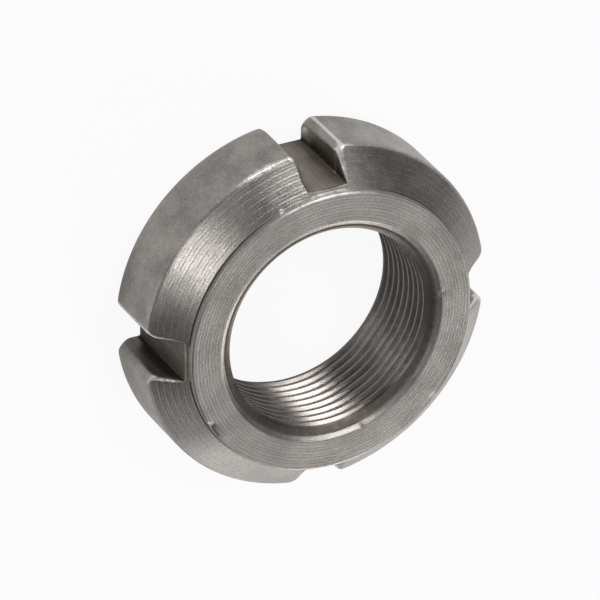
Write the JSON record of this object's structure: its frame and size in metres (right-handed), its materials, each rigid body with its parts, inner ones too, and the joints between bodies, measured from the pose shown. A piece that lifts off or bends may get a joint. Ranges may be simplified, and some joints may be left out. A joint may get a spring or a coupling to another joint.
{
  "type": "lock nut",
  "caption": "Round steel lock nut with a fine threaded bore, a coned front rim, and spanner slots milled across the rim.",
  "frame": {"origin": "centre of the flat back face, on the bore axis", "axes": "+Z along the bore axis, from the flat back face to the coned front face; two of the slots lie on X and two on Y"},
  "size_m": [0.036, 0.036, 0.0111],
  "materials": {
    "turned_steel": "turned and milled steel, satin, uncoated"
  },
  "bodies": {
    "root": {"lock_nut": "turned_steel"}
  },
  "joints": []
}
